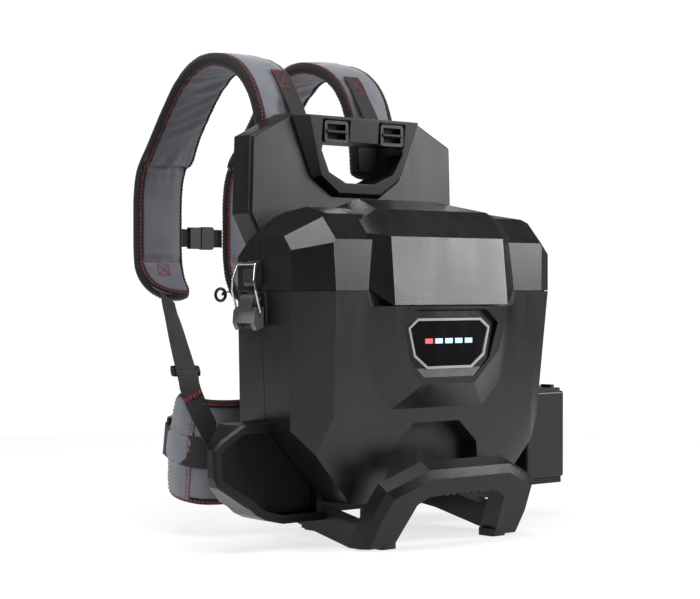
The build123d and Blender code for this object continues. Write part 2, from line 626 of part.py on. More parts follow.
# Mid-line of the hip webbing past the pad's end, up to its buckle.
HIP_TAIL = [(190, 277), (184, 285), (176, 291)]
HIP_LOW_Z = 36.0
HIP_HIGH_Z = 165.0
HIP_STRAP_Z = 101.0         # middle of the hip webbing
HIP_TILT = 8.5              # degrees that the hip pads rise towards their front ends
HIP_TILT_AXIS = (187.0, 101.0)      # Y and Z of the line that they tilt about
HIP_THICK = 18.0
HIP_CROSSING = (210.5, 210.5, 184)  # where the lower strap meets the hip pad's top edge
PAD_BACK_Y = 208.0


def offset_line(line, distance):
    """Points of a bent line moved sideways by distance, square to its local direction."""
    moved = []
    for index, (a, b) in enumerate(line):
        before = line[max(index - 1, 0)]
        after = line[min(index + 1, len(line) - 1)]
        run = math.hypot(after[0] - before[0], after[1] - before[1])
        normal = (-(after[1] - before[1]) / run, (after[0] - before[0]) / run)
        moved.append((a + normal[0] * distance, b + normal[1] * distance))
    return moved


def shoulder_band(left, right, low, high, first=0, last=None):
    """Band that follows the shoulder line between two X values and two offsets from it."""
    line = SHOULDER_LINE[first:last]
    outer_side = [Vector(left, y, z) for y, z in offset_line(line, high)]
    inner_side = [Vector(left, y, z) for y, z in offset_line(line, low)]
    edges = [Spline(*outer_side), Line(outer_side[-1], inner_side[-1]), Spline(*inner_side[::-1]),
             Line(inner_side[0], outer_side[0])]
    return extrude(make_face(edges), amount=right - left, dir=(1, 0, 0))


def hip_band(line, low_z, high_z, low, high):
    """Upright band that follows a right-hand hip line between two heights and two offsets from it."""
    outer_side = [Vector(x, y, low_z) for x, y in offset_line(line, -high)]
    inner_side = [Vector(x, y, low_z) for x, y in offset_line(line, -low)]
    edges = [Spline(*outer_side), Line(outer_side[-1], inner_side[-1]), Spline(*inner_side[::-1]),
             Line(inner_side[0], outer_side[0])]
    return extrude(make_face(edges), amount=high_z - low_z, dir=(0, 0, 1))


def tilted(solid):
    """Turn something on the hip by the pads' own tilt."""
    y, z = HIP_TILT_AXIS
    return Pos(0, y, z) * Rot(HIP_TILT, 0, 0) * Pos(0, -y, -z) * solid


def flat_strap(start, end, width_dir, width):
    """Straight length of webbing between two points, its width along width_dir."""
    a = Vector(*start)
    run = Vector(*end) - a
    plane = Plane(origin=a, x_dir=Vector(*width_dir), z_dir=run)
    return extrude(plane * Rectangle(width, WEB_THICK), amount=run.length, dir=run)


def build_pads():
    """Shoulder, back, lumbar and hip pads as plain closed forms."""
    half = PAD_THICK / 2
    add_pair("shoulder_pad", shoulder_band(PAD_IN, PAD_OUT, -half, half))
    back = block(-100, 100, PLATE_REAR_Y, PAD_BACK_Y - 2, 196, 428)
    add("back_pad", fillet(back.edges().filter_by(Axis.Y), 18))
    lumbar = block(-108, 108, PLATE_REAR_Y, PAD_BACK_Y, 62, 186)
    add("lumbar_pad", fillet(lumbar.edges().filter_by(Axis.Y), 16))
    pad = hip_band(HIP_LINE, HIP_LOW_Z, HIP_HIGH_Z, -HIP_THICK / 2, HIP_THICK / 2)
    add_pair("hip_pad", tilted(pad))


def lower_strap(start):
    """Webbing from an adjuster to the outside of the hip pad, where it slants down to the hip strap."""
    low = HIP_THICK / 2 + GAP
    patch = tilted(hip_band(HIP_LINE, HIP_STRAP_Z + HIP_WEBBING / 2 + GAP, 190, low, low + WEB_THICK))
    slant = prism_y([(179, 115), (206, 115), (222, 171), (222, 200), (198, 200), (198, 171)], 180, 222)
    top = Vector(*HIP_CROSSING)
    run = top - start
    first = Plane(origin=start, x_dir=Vector(run.Y, -run.X, 0), z_dir=run)
    last = Plane(origin=top, x_dir=(-0.597, -0.52, 0.575), z_dir=(0.121, -0.795, -0.595))
    section = Rectangle(WEBBING, WEB_THICK)
    free = loft([first * section, last * section], ruled=True)
    return free + (patch & slant)


def build_webbing():
    """Straps and buckles: lifters, lower straps, chest strap and hip strap."""
    low = PAD_THICK / 2 + GAP
    sewn = shoulder_band(LIFTER_X - WEBBING / 2, LIFTER_X + WEBBING / 2, low, low + WEB_THICK)
    sewn = sewn & block(LIFTER_X - WEBBING, LIFTER_X + WEBBING, 195, 241, 548, 600)
    free = prism_x([(187, 498), (187, 518.6), (207.9, 551), (209.9, 549.8), (189.4, 517.8), (189.4, 498)],
                   LIFTER_X - WEBBING / 2, LIFTER_X + WEBBING / 2)
    lifter = free + sewn
    tail = block(BUCKLE_X - WEBBING / 2, BUCKLE_X + WEBBING / 2, 140, 140 + WEB_THICK, BUCKLE_Z - 14,
                 BUCKLE_Z + 9)
    add_pair("lifter_strap", lifter)
    add_group("lifter_tails", tail)

    tip = Vector(75, 456, 288)
    run = Vector(*HIP_CROSSING) - tip
    across = (-run.Y, run.X, 0)
    crossing = tip + run * 0.84
    pad_clearance = Pos(0, -GAP, -GAP) * shoulder_band(PAD_IN, PAD_OUT, -PAD_THICK / 2, PAD_THICK / 2)
    add_group("tip_straps", flat_strap(tip, crossing - run * 0.002, across, WEBBING) - pad_clearance)
    plane = Plane(origin=crossing, x_dir=across, z_dir=run)
    add_group("strap_adjusters", plane * Pos(0, -4.8, -10) * ladder_lock(36, 24))
    add_group("lower_straps", lower_strap(crossing + run * 0.002))

    chest_y = 487.0
    chest = 372.0
    add("chest_buckle_tongue", block(-20, -1.5, chest_y - 4, chest_y + 4, chest - 15, chest + 15))
    add("chest_buckle_socket", fillet(block(-1.2, 20, chest_y - 5, chest_y + 5, chest - 16, chest + 16)
                                      .edges().filter_by(Axis.Y), 4))
    strap = block(20.3, PAD_IN - 0.2, chest_y - WEB_THICK / 2, chest_y + WEB_THICK / 2, chest - 12.5, chest + 12.5)
    add_group("chest_straps", strap)


HIP_BUCKLE_TURN = 143.0     # the buckle halves point forwards and inwards


def build_hip_strap():
    """Hip webbing outside the hip pads, with a side-release buckle whose halves stand apart."""
    middle = HIP_STRAP_Z
    half = HIP_WEBBING / 2
    low = HIP_THICK / 2 + GAP
    line = HIP_LINE[1:-1] + HIP_TAIL
    add_pair("hip_strap", tilted(hip_band(line, middle - half, middle + half, low, low + WEB_THICK)))
    end = offset_line(line, -low - WEB_THICK / 2)[-1]
    place = Pos(end[0], end[1], middle) * Rot(0, 0, HIP_BUCKLE_TURN)
    tongue = Pos(13, 0, 0) * Box(24, 7, 44) + Pos(33, 0, 0) * Box(18, 4, 12)
    for side in (-1, 1):
        tongue = tongue + Pos(34, 0, side * 15) * Box(20, 5, 6)
    add("hip_buckle_tongue", tilted(place * tongue))
    socket = fillet((Pos(26, 0, 0) * Box(50, 10, 46)).edges(), 3)
    mouth = Pos(42, 0, 0) * Box(20, 6.4, 38)
    socket = socket - mouth
    for side in (-1, 1):
        socket = socket - Pos(36, 0, side * 22) * Box(14, 20, 8)
    add("hip_buckle_socket", flipped(tilted(place * socket)))


def build_fittings():
    """Outlet socket, screws under the case and the ring on the right shoulder pad."""
    x = CASE_HALF_WIDTH - 3.0
    socket = rod((x - 15, OUTLET[0], OUTLET[1]), (x, OUTLET[0], OUTLET[1]), OUTLET_RADIUS - 0.2)
    flange = rod((CASE_HALF_WIDTH - 0.2, *OUTLET), (CASE_HALF_WIDTH + 3, *OUTLET), OUTLET_RADIUS + 3)
    bore = rod((x - 12, *OUTLET), (CASE_HALF_WIDTH + 10, *OUTLET), OUTLET_RADIUS - 4)
    pins = [rod((x - 14, OUTLET[0] + side * 3.5, OUTLET[1]), (x, OUTLET[0] + side * 3.5, OUTLET[1]), 1.4)
            for side in (-1, 1)]
    body = socket + (flange - outer) + rod((x - 2, *OUTLET), (CASE_HALF_WIDTH + 1, *OUTLET),
                                           OUTLET_RADIUS - 0.2) - bore
    add("outlet_socket", body + pins[0] + pins[1])
    screws = []
    for x, y in SCREWS:
        screws.append(rod((x, y, CASE_BOTTOM_Z - 1.5), (x, y, CASE_BOTTOM_Z + 1.5), 4.5)
                      + rod((x, y, CASE_BOTTOM_Z), (x, y, CASE_BOTTOM_Z + 12), 2.4))
    add("case_screws", *screws)
    add("strap_ring", Pos(*RING) * Rot(90, 0, 0) * Torus(RING_RADIUS, RING_WIRE))
    loop = block(RING[0] + 4, PAD_IN - 0.2, RING[1] - 4.5, RING[1] + 4.5, RING[2] - 3.5, RING[2] + 3.5)
    swing_x = RING[0] + RING_RADIUS
    hole = rod((swing_x, RING[1], RING[2] - 5), (swing_x, RING[1], RING[2] + 5), RING_WIRE + 1.3)
    add("ring_loop", loop - hole)


build_case()
build_lid()
build_seal()
build_badge()
build_latches()
build_power()
build_frame()
build_wings()
build_adapter()
build_plate()
build_pads()
build_webbing()
build_hip_strap()
build_fittings()

os.makedirs("parts", exist_ok=True)
for name, shape in nodes.items():
    export_step(Pos(0, -ORIGIN_Y, 0) * shape, "parts/" + name + ".step")

whole = Compound(children=list(nodes.values())).bounding_box()
print("nodes", len(nodes), "box", whole.min, whole.max)
print("middle of the depth", round((whole.min.Y + whole.max.Y) / 2, 3), "for ORIGIN_Y", ORIGIN_Y)
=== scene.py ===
import json
import math
import bpy
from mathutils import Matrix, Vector, noise


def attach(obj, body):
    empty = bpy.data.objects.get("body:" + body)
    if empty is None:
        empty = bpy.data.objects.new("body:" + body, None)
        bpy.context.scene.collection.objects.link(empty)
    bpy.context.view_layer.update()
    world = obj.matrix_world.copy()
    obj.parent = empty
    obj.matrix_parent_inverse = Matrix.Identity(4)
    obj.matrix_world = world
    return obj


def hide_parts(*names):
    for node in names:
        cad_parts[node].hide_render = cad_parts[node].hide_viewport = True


# Battery backpack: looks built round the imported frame.  Lengths are metres, in the frame's own axes.
# Points that go through at() are millimetres, with their depth counted from the front feet, as in the part.

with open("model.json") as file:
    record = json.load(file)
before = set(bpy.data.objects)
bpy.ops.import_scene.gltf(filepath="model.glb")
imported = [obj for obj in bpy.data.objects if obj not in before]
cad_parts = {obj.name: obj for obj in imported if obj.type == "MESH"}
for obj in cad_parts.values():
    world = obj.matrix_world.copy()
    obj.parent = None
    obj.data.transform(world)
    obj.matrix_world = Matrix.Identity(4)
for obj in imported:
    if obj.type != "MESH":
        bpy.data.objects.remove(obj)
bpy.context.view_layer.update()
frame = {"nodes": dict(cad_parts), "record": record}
NODES = frame["nodes"]
SLOT_OF = {entry["node"]: entry["material_slot"] for entry in frame["record"]["subparts"]}

MM = 0.001
ORIGIN_Y = 215.8            # depth of the frame's origin behind the front feet
ACROSS_X = Vector((1, 0, 0))
SOFT_BODY = "frame"         # the body that pads, straps and stitches ride on
SIDES = (("left", -1), ("right", 1))


def at(x, y, z):
    """Row-frame point in metres from millimetres counted from the front feet."""
    return Vector((x, y - ORIGIN_Y, z)) * MM


# ---- Material helpers ----

def new_material(name):
    made = bpy.data.materials.new(name)
    made.use_nodes = True
    return made, made.node_tree, made.node_tree.nodes["Principled BSDF"]


def add_node(tree, kind, inputs=None, **settings):
    """Node with its settings and its input values; an input may also be another node's output."""
    made = tree.nodes.new("ShaderNode" + kind)
    for key, value in settings.items():
        setattr(made, key, value)
    for key, value in (inputs or {}).items():
        socket = made.inputs[key]
        if isinstance(value, bpy.types.NodeSocket):
            tree.links.new(value, socket)
        else:
            socket.default_value = value
    return made


TEXTURE_SETTINGS = ("wave_type", "bands_direction")


def texture(tree, kind, place, scale, **more):
    """Texture that reads a place and gives its main value."""
    settings = {key: more.pop(key) for key in list(more) if key in TEXTURE_SETTINGS}
    inputs = {"Vector": place, "Scale": scale}
    inputs.update({key.replace("_", " ").title(): value for key, value in more.items()})
    made = add_node(tree, kind, inputs, **settings)
    return made.outputs["Distance"] if kind == "TexVoronoi" else made.outputs[0]


def remap(tree, value, low, high, to_low, to_high):
    """Value moved from one range to another, and held inside it."""
    made = add_node(tree, "MapRange", {"Value": value, "From Min": low, "From Max": high,
                                       "To Min": to_low, "To Max": to_high})
    return made.outputs["Result"]


def mixed(tree, factor, first, second):
    """Colour between two colours; a colour mix has its sockets at these places."""
    return add_node(tree, "Mix", {0: factor, 6: first, 7: second}, data_type="RGBA").outputs[2]


def combine(tree, operation, first, second):
    return add_node(tree, "Math", {0: first, 1: second}, operation=operation).outputs[0]


def bump(tree, shader, height, strength, distance):
    made = add_node(tree, "Bump", {"Strength": strength, "Distance": distance, "Height": height})
    tree.links.new(made.outputs["Normal"], shader.inputs["Normal"])


def rgba(colour, factor=1.0):
    return (colour[0] * factor, colour[1] * factor, colour[2] * factor, 1.0)


def uneven(tree, noise_value, to_low, to_high):
    """The useful middle of a noise texture, spread over a range."""
    return remap(tree, noise_value, 0.3, 0.7, to_low, to_high)


def moulded(name, colour, rough, grain=900.0, depth=0.00012, edge_wear_and_highlight=0.02, specular=0.5):
    """Grained moulding: fine texture, faint flow marks, uneven sheen, and convex edges painted paler, partly
    as rubbed wear and partly as a painted edge highlight.

    grain is the texture's scale, depth its height in metres, and the value after depth how much paler the
    convex edges are painted, partly as rubbed wear and partly as painted highlight.
    """
    made, tree, shader = new_material(name)
    place = add_node(tree, "TexCoord").outputs["Object"]
    pits = texture(tree, "TexVoronoi", place, grain)
    fine = texture(tree, "TexNoise", place, grain * 1.7, detail=3.0)
    broad = texture(tree, "TexNoise", place, 11.0, detail=4.0)
    flow_place = add_node(tree, "Mapping", {"Vector": place, "Scale": (60.0, 60.0, 3.0)}).outputs[0]
    flow = texture(tree, "TexNoise", flow_place, 1.0, detail=3.0)
    # Convex edges, found by pointiness, are painted paler: partly rubbed wear, partly a painted edge
    # highlight.
    edge = add_node(tree, "NewGeometry").outputs["Pointiness"]
    edge_wear_and_highlight_mask = remap(tree, edge, 0.53, 0.62, 0.0, 1.0)
    edge_wear_and_highlight_amount = combine(tree, "MULTIPLY", edge_wear_and_highlight_mask, uneven(tree, fine, 0.2, 1.0))
    tone = mixed(tree, uneven(tree, broad, 0.0, 1.0), rgba(colour, 0.85), rgba(colour, 1.2))
    tree.links.new(mixed(tree, edge_wear_and_highlight_amount, tone, rgba([c + edge_wear_and_highlight for c in colour])), shader.inputs["Base Color"])
    sheen = combine(tree, "ADD", uneven(tree, broad, rough - 0.05, rough + 0.05),
                    uneven(tree, flow, -0.03, 0.03))
    tree.links.new(sheen, shader.inputs["Roughness"])
    shader.inputs["Specular IOR Level"].default_value = specular
    bump(tree, shader, combine(tree, "ADD", pits, fine), 0.55, depth)
    return made


def metal(name, colour, rough, stretch):
    """Drawn or brushed metal with handling marks, and fine lines along the axis that stretch makes small."""
    made, tree, shader = new_material(name)
    place = add_node(tree, "TexCoord").outputs["Object"]
    lines_place = add_node(tree, "Mapping", {"Vector": place, "Scale": stretch}).outputs[0]
    lines = texture(tree, "TexNoise", lines_place, 1.0, detail=4.0)
    marks = texture(tree, "TexNoise", place, 120.0, detail=5.0)
    tree.links.new(mixed(tree, marks, rgba(colour, 0.7), rgba(colour, 1.15)), shader.inputs["Base Color"])
    shader.inputs["Metallic"].default_value = 1.0
    tree.links.new(uneven(tree, lines, rough - 0.08, rough + 0.12), shader.inputs["Roughness"])
    bump(tree, shader, lines, 0.3, 0.00005)
    return made


def cloth(name, colour, pitch, sheen, rough=0.75, ripple=0.4, shine=0.35, across=1.0):
    """Woven cloth on the piece's own UVs, in metres: threads both ways, uneven dye and soft ripples.

    pitch is the distance between threads, and across the share of it that the cross threads keep.
    """
    made, tree, shader = new_material(name)
    coordinates = add_node(tree, "TexCoord")
    place = coordinates.outputs["UV"]
    per_wave = 2 * math.pi / 20         # a wave texture at scale 1 repeats every 2 pi / 20
    warp = texture(tree, "TexWave", place, per_wave / pitch, wave_type="BANDS", bands_direction="X",
                   distortion=0.6)
    weft = texture(tree, "TexWave", place, per_wave / (pitch * across), wave_type="BANDS",
                   bands_direction="Y", distortion=0.6)
    weave = combine(tree, "MULTIPLY", warp, weft)
    dye = texture(tree, "TexNoise", coordinates.outputs["Object"], 28.0, detail=5.0)
    fibre = texture(tree, "TexNoise", coordinates.outputs["Object"], 1500.0, detail=2.0)
    shade = combine(tree, "ADD", combine(tree, "MULTIPLY", weave, 0.5),
                    combine(tree, "ADD", combine(tree, "MULTIPLY", dye, 0.35),
                            combine(tree, "MULTIPLY", fibre, 0.25)))
    tree.links.new(mixed(tree, shade, rgba(colour, 0.6), rgba(colour, 1.45)), shader.inputs["Base Color"])
    tree.links.new(uneven(tree, dye, rough - 0.07, rough + 0.07), shader.inputs["Roughness"])
    shader.inputs["Specular IOR Level"].default_value = shine
    shader.inputs["Sheen Weight"].default_value = sheen
    shader.inputs["Sheen Roughness"].default_value = 0.45
    height = combine(tree, "ADD", weave, combine(tree, "MULTIPLY", dye, ripple * 3))
    bump(tree, shader, height, 0.6, pitch * 0.35)
    return made


FIRST_LAMP_END_X = -0.022
BEZEL_LIP_Z = (0.2085, 0.2075)      # the bezel turns from dark to silver between these heights


def lamp_material():
    """Gauge bars: the first one red, the others pale, faintly lit, with an uneven diffuser."""
    made, tree, shader = new_material("gauge_lamps")
    place = add_node(tree, "TexCoord").outputs["Object"]
    along = add_node(tree, "SeparateXYZ", {0: place}).outputs[0]
    first = combine(tree, "LESS_THAN", along, FIRST_LAMP_END_X)
    speck = texture(tree, "TexNoise", place, 900.0, detail=3.0)
    bright = mixed(tree, first, (0.55, 0.85, 1.0, 1), (0.75, 0.02, 0.03, 1))
    colour = mixed(tree, uneven(tree, speck, 0.0, 0.3), bright, (0.9, 0.9, 0.9, 1))
    tree.links.new(colour, shader.inputs["Base Color"])
    tree.links.new(bright, shader.inputs["Emission Color"])
    shader.inputs["Emission Strength"].default_value = 0.22
    shader.inputs["Roughness"].default_value = 0.3
    return made


def badge_bezel_material():
    """Dark bezel whose lower lip is silver."""
    made = moulded("badge_silver", (0.13, 0.132, 0.138), 0.28, 2400.0, 0.00003, 0.05)
    tree = made.node_tree
    shader = tree.nodes["Principled BSDF"]
    silver = shader.inputs["Base Color"].links[0].from_socket
    height = add_node(tree, "SeparateXYZ", {0: add_node(tree, "TexCoord").outputs["Object"]}).outputs[2]
    lip = remap(tree, height, *BEZEL_LIP_Z, 0.0, 1.0)
    tree.links.new(mixed(tree, lip, (0.006, 0.006, 0.007, 1), silver), shader.inputs["Base Color"])
    return made


# Colour, roughness, grain, grain depth, paleness painted on convex edges (rubbed wear and painted highlight),
# specular level.
MOULDINGS = {
    "case_plastic": ((0.0042, 0.0043, 0.0055), 0.31, 800.0),
    "frame_plastic": ((0.0045, 0.0045, 0.0055), 0.36, 620.0, 0.00018, 0.01, 0.24),
    "plate_plastic": ((0.008, 0.008, 0.0095), 0.40, 760.0, 0.00012, 0.01, 0.32),
    "panel_plastic": ((0.004, 0.004, 0.0048), 0.5, 900.0, 0.00012, 0.01, 0.16),
    "buckle_plastic": ((0.0045, 0.0045, 0.005), 0.46, 1300.0, 0.00006, 0.01, 0.3),
    "lever_grey": ((0.045, 0.045, 0.046), 0.45, 1500.0, 0.0001, 0.15),
    "keeper_black": ((0.012, 0.012, 0.013), 0.35, 1500.0, 0.00006, 0.1),
    "foot_rubber": ((0.010, 0.010, 0.010), 0.8, 1200.0, 0.0002, 0.03, 0.25),
    "seal_rubber": ((0.014, 0.014, 0.014), 0.75, 1500.0, 0.0001, 0.03, 0.25),
    "badge_rim_light": ((0.34, 0.37, 0.38), 0.35, 2400.0, 0.00003, 0.05),
    "badge_black": ((0.004, 0.004, 0.005), 0.12, 3000.0, 0.00001, 0.0),
    "pack_plastic": ((0.022, 0.022, 0.025), 0.45, 900.0),
    "board_green": ((0.012, 0.07, 0.03), 0.4, 2500.0, 0.00004),
}
# Colour, roughness, scale of the lines along each axis.
METALS = {
    "bail_wire": ((0.62, 0.62, 0.64), 0.22, (900.0, 900.0, 60.0)),
    "pin_steel": ((0.42, 0.42, 0.43), 0.35, (700.0, 60.0, 700.0)),
    "copper": ((0.55, 0.28, 0.15), 0.3, (400.0, 900.0, 60.0)),
    "heatsink_alu": ((0.5, 0.51, 0.52), 0.35, (60.0, 900.0, 900.0)),
}
MATERIALS = {name: moulded(name, *values) for name, values in MOULDINGS.items()}
MATERIALS.update({name: metal(name, *values) for name, values in METALS.items()})
MATERIALS.update({"badge_silver": badge_bezel_material(), "lamp": lamp_material()})
PAD_OUTER = cloth("pad_outer_nylon", (0.135, 0.14, 0.165), 0.0011, 0.35, 0.5)
PAD_INNER = cloth("pad_inner_nylon", (0.105, 0.108, 0.13), 0.0011, 0.3, 0.45)
BACK_MESH = cloth("back_mesh_knit", (0.030, 0.032, 0.038), 0.0032, 0.25, 0.85, 0.2)
BINDING = cloth("black_binding", (0.011, 0.011, 0.012), 0.0016, 0.15, 0.8, 0.2, 0.25)
WEBBING = cloth("black_webbing", (0.013, 0.013, 0.014), 0.0019, 0.12, 0.72, 0.1, 0.3, across=0.6)
THREAD = cloth("red_thread", (0.30, 0.012, 0.022), 0.0009, 0.2, 0.6, 0.2)


# ---- CAD nodes: rounded edges and the record's finishes ----

# Radius of the rounded edges of each finish, in millimetres; the others stay sharp.
EDGE_ROUND = {"case_plastic": 1.6, "frame_plastic": 1.4, "plate_plastic": 1.3, "panel_plastic": 0.8,
              "badge_silver": 0.7, "buckle_plastic": 0.5, "lever_grey": 0.5, "keeper_black": 0.5,
              "pack_plastic": 0.8, "badge_rim_light": 0.3}
SOFT_SLOTS = ("pad_nylon", "back_mesh", "webbing")
WELD_DISTANCE = 2e-5
FLAT_ANGLE = math.radians(0.6)      # faces that meet within this angle are one flat face
SHARP_ANGLE = math.radians(20)      # edges beyond this angle get rounded


def finish_hard(node):
    """Give a CAD node its material, and round its sharp edges."""
    slot_name = SLOT_OF[node.name]
    node.data.materials.clear()
    node.data.materials.append(MATERIALS[slot_name])
    if slot_name not in EDGE_ROUND:
        return
    weld = node.modifiers.new("weld", "WELD")
    weld.merge_threshold = WELD_DISTANCE
    flat = node.modifiers.new("flat_faces", "DECIMATE")
    flat.decimate_type = "DISSOLVE"
    flat.angle_limit = FLAT_ANGLE
    rounding = node.modifiers.new("edge_rounding", "BEVEL")
    rounding.width = EDGE_ROUND[slot_name] * MM
    rounding.segments = 2
    rounding.limit_method = "ANGLE"
    rounding.angle_limit = SHARP_ANGLE
    rounding.use_clamp_overlap = True
    shading = node.modifiers.new("even_shading", "WEIGHTED_NORMAL")
    shading.keep_sharp = False


for cad_node in NODES.values():
    if SLOT_OF[cad_node.name] not in SOFT_SLOTS:
        finish_hard(cad_node)


# ---- Paths and ribbons ----

PARTS_PER_SPAN = 16


def smooth_line(points, step):
    """Evenly spaced points on a Catmull-Rom curve through the given points, and its length."""
    dense = []
    for index in range(len(points) - 1):
        a = points[max(index - 1, 0)]
        b, c = points[index], points[index + 1]
        d = points[min(index + 2, len(points) - 1)]
        for part in range(PARTS_PER_SPAN):
            t = part / PARTS_PER_SPAN
            dense.append(0.5 * ((2 * b) + (c - a) * t + (2 * a - 5 * b + 4 * c - d) * t * t
                                + (3 * b - a - 3 * c + d) * t ** 3))
    dense.append(points[-1])
    lengths = [0.0]
    for a, b in zip(dense, dense[1:]):
        lengths.append(lengths[-1] + (b - a).length)
    count = max(2, round(lengths[-1] / step))
    even, cursor = [], 0
    for index in range(count + 1):
        goal = lengths[-1] * index / count
        while cursor < len(dense) - 2 and lengths[cursor + 1] < goal:
            cursor += 1
        span = lengths[cursor + 1] - lengths[cursor] or 1.0
        even.append(dense[cursor].lerp(dense[cursor + 1], min((goal - lengths[cursor]) / span, 1.0)))
    return even, lengths[-1]


class Ribbon:
    """A path with a constant width direction; gives points by length, width and height."""

    def __init__(self, points, across, step=0.002):
        self.points, self.length = smooth_line(points, step)
        self.across = across.normalized()

    def frame_at(self, s):
        """Centre, running direction and upward direction at a length along the path."""
        position = min(max(s / self.length, 0.0), 1.0) * (len(self.points) - 1)
        index = min(int(position), len(self.points) - 2)
        a, b = self.points[index], self.points[index + 1]
        before = self.points[max(index - 1, 0)]
        after = self.points[min(index + 2, len(self.points) - 1)]
        run = (after - before).normalized()
        centre = a.lerp(b, position - index) + run * (s - min(max(s, 0.0), self.length))
        return centre, run, run.cross(self.across).normalized()

    def point(self, s, v, h):
        """Point at a length along the path, a distance across it and a height above it."""
        centre, run, normal = self.frame_at(s)
        return centre + self.across * v + normal * h


def make_mesh(name, vertices, faces, uvs, materials, face_materials=None, smooth=True):
    """Mesh object with UVs in metres, given one per vertex."""
    mesh = bpy.data.meshes.new(name)
    mesh.from_pydata([tuple(v) for v in vertices], [], faces)
    layer = mesh.uv_layers.new(name="metres")
    for loop in mesh.loops:
        layer.data[loop.index].uv = uvs[loop.vertex_index]
    for made in materials:
        mesh.materials.append(made)
    for polygon in mesh.polygons:
        polygon.use_smooth = smooth
        if face_materials:
            polygon.material_index = face_materials[polygon.index]
    made = bpy.data.objects.new(name, mesh)
    bpy.context.scene.collection.objects.link(made)
    mesh.validate()
    return made


def tube_faces(rings, around, closed):
    """Faces between rings of points, with end caps on an open run."""
    faces = []
    for ring in range(rings if closed else rings - 1):
        for side in range(around):
            a = ring * around + side
            b = ring * around + (side + 1) % around
            c = (ring + 1) % rings * around + (side + 1) % around
            d = (ring + 1) % rings * around + side
            faces.append((a, b, c, d))
    if not closed:
        faces.append(tuple(range(around))[::-1])
        faces.append(tuple(range((rings - 1) * around, rings * around)))
    return faces


# ---- Thread: short stitches along a line ----

STITCH_RADIUS = 0.0007
STITCH_SIDES = 6
STITCH_RINGS = ((0.0, 0.35), (0.25, 1.0), (0.75, 1.0), (1.0, 0.35))     # share of length, share of radius
TACK_LENGTH = 0.003         # stitches of crosses and bars are shorter than those of seams


class Thread:
    """Collects stitches of one colour and makes them one mesh."""

    def __init__(self):
        self.vertices, self.faces, self.uvs = [], [], []

    def stitch(self, a, b):
        """One stitch between two points, thinner at its ends."""
        run = (b - a).normalized()
        side = run.orthogonal().normalized()
        other = run.cross(side)
        base = len(self.vertices)
        for share, size in STITCH_RINGS:
            centre = a.lerp(b, share)
            for index in range(STITCH_SIDES):
                turn = index * math.pi / 3
                outwards = side * math.cos(turn) + other * math.sin(turn)
                self.vertices.append(centre + outwards * STITCH_RADIUS * size)
                self.uvs.append(((b - a).length * share, index * 0.0004))
        rings = tube_faces(len(STITCH_RINGS), STITCH_SIDES, False)
        self.faces += [tuple(base + index for index in face) for face in rings]

    def along(self, points, length=0.0036, gap=0.0016):
        """Stitches along points."""
        dense, total = smooth_line(points, 0.001)
        count = max(1, int(total / (length + gap)))
        for index in range(count):
            low = int(index / count * (len(dense) - 1))
            high = int((index + length / (length + gap)) / count * (len(dense) - 1))
            if high > low:
                self.stitch(dense[low], dense[high])

    def build(self, name):
        """Every stitch so far as one piece."""
        made = make_mesh(name, self.vertices, self.faces, self.uvs, [THREAD])
        return keep(made, "webbing")


red = Thread()


def keep(piece, slot_name, *replaced):
    """A piece rides on the frame and stands for CAD nodes; its slot name is not used."""
    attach(piece, SOFT_BODY)
    if replaced:
        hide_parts(*replaced)
    return piece


# ---- Pads ----

ROUND_POWER = 2.4           # how square the rounded ends of a pad are
LEAST_WIDTH = 0.12          # share of the width that a rounded end keeps at its very tip
CROWN_POWER = 2.6           # how flat a pad's middle is
CROWN_ROUND = 0.55          # how round its edges are
SEAM_WIDTH = 0.0045
SHORT_CORNER = (0.014, 0.012)       # reach along and across of the corner that a swept end keeps
CREASE_SHARPNESS = 3.2
CHANNEL_HEIGHT = 0.0036
PAD_COLUMNS = 26            # points across each side of a pad
PAD_RING_STEP = 0.004
TAPE_STEPS = ((1.0, -0.0006), (1.0, 0.0007), (0.66, 0.0009), (0.33, 0.0009),
              (0.0, 0.0007))        # share of the tape's width, and its lift off the cloth
TAPE_FOLD = 0.0012          # how far the tape stands out past the pad's edge
THREAD_LIFT = 0.0013        # stitches on the tape, off the cloth under it


def bell(distance, width):
    """One at distance zero, falling smoothly to nothing beyond the width."""
    return math.exp(-(distance / width) ** 2)


def channel(v, half):
    """Height of a panel where it passes over webbing, within half a width of its middle."""
    return CHANNEL_HEIGHT * max(1 - (abs(v) / half) ** 3, 0.0)


def own_number(name):
    """A number of its own for each piece, so that no two wrinkle alike."""
    return sum(ord(letter) * (index + 3) for index, letter in enumerate(name)) % 97 * 0.37


def quarter_round(distance, reach):
    """Share of a corner's depth that is cut away at a distance from its end."""
    return 1 - max(1 - max(1 - distance / reach, 0.0) ** 2, 0.0) ** 0.5


